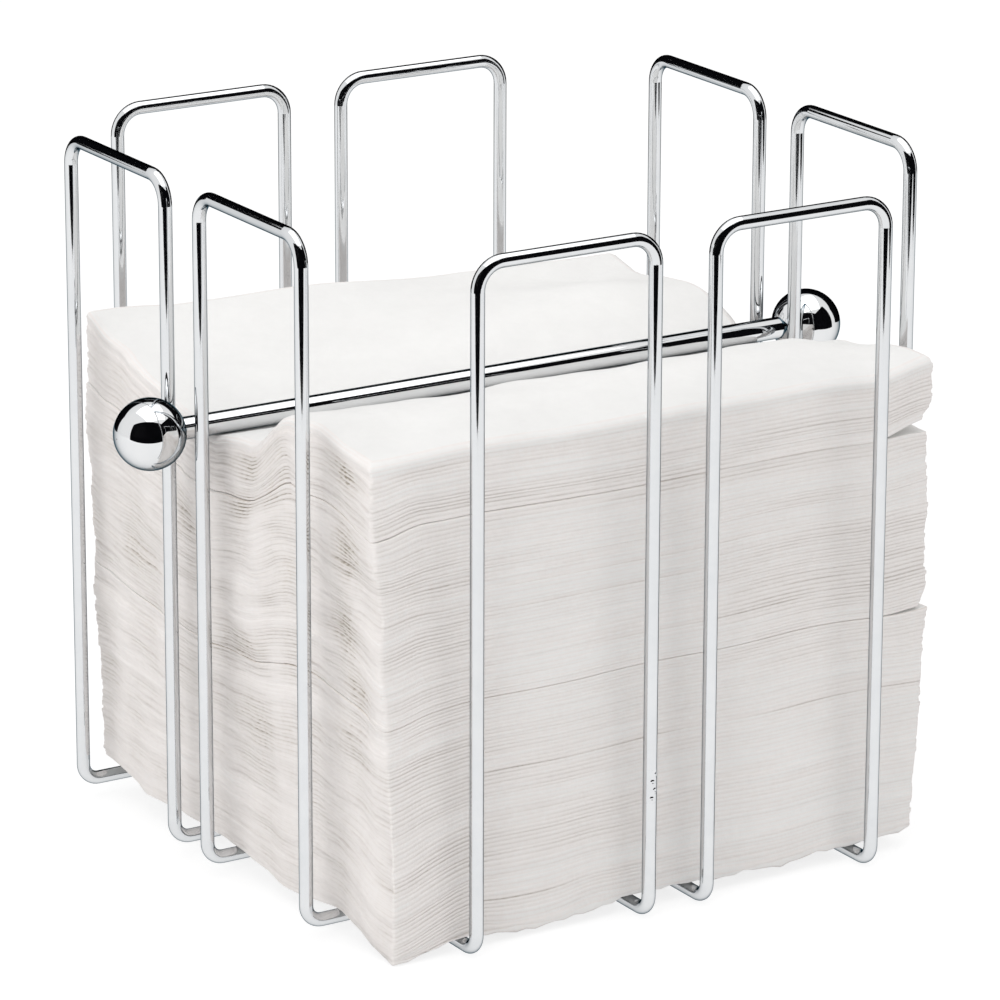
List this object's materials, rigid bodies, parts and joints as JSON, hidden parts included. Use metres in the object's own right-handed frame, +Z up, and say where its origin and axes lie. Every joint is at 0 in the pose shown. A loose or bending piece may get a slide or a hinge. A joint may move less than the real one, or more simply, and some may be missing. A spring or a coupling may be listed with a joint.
{
  "type": "napkin holder",
  "caption": "Open chromed wire cage of paired loops that holds a stack of folded paper napkins, with a ball-ended weight bar lying across the stack in the slots between the loops.",
  "frame": {"origin": "on the table, below the middle of the cage", "axes": "+X along the front and along the weight bar, +Y to the back, +Z up"},
  "size_m": [0.2236, 0.1906, 0.1868],
  "materials": {
    "cage_wire": "polished",
    "weld": "satin",
    "bar_rod": "polished",
    "bar_ball": "polished",
    "napkin_paper": "matte"
  },
  "bodies": {
    "cage": {"side_wire_front": "cage_wire", "side_wire_back": "cage_wire", "cross_wire_left": "cage_wire", "cross_wire_right": "cage_wire", "base_welds": "weld"},
    "bottom_pack": {"napkin_pack_bottom": "napkin_paper"},
    "middle_pack": {"napkin_pack_middle": "napkin_paper"},
    "top_pack": {"napkin_pack_top": "napkin_paper"},
    "weight_bar": {"weight_rod": "bar_rod", "ball_left": "bar_ball", "ball_right": "bar_ball"}
  },
  "joints": [
    {"name": "bottom_pack_lift", "type": "slide", "parent": "cage", "child": "bottom_pack", "axis": [0, 0, 1], "range_m": [0, 0.182]},
    {"name": "middle_pack_lift", "type": "slide", "parent": "bottom_pack", "child": "middle_pack", "axis": [0, 0, 1], "range_m": [0, 0.124]},
    {"name": "top_pack_lift", "type": "slide", "parent": "middle_pack", "child": "top_pack", "axis": [0, 0, 1], "range_m": [0, 0.083]},
    {"name": "bar_lift", "type": "slide", "parent": "top_pack", "child": "weight_bar", "axis": [0, 0, 1], "range_m": [0, 0.078]}
  ]
}
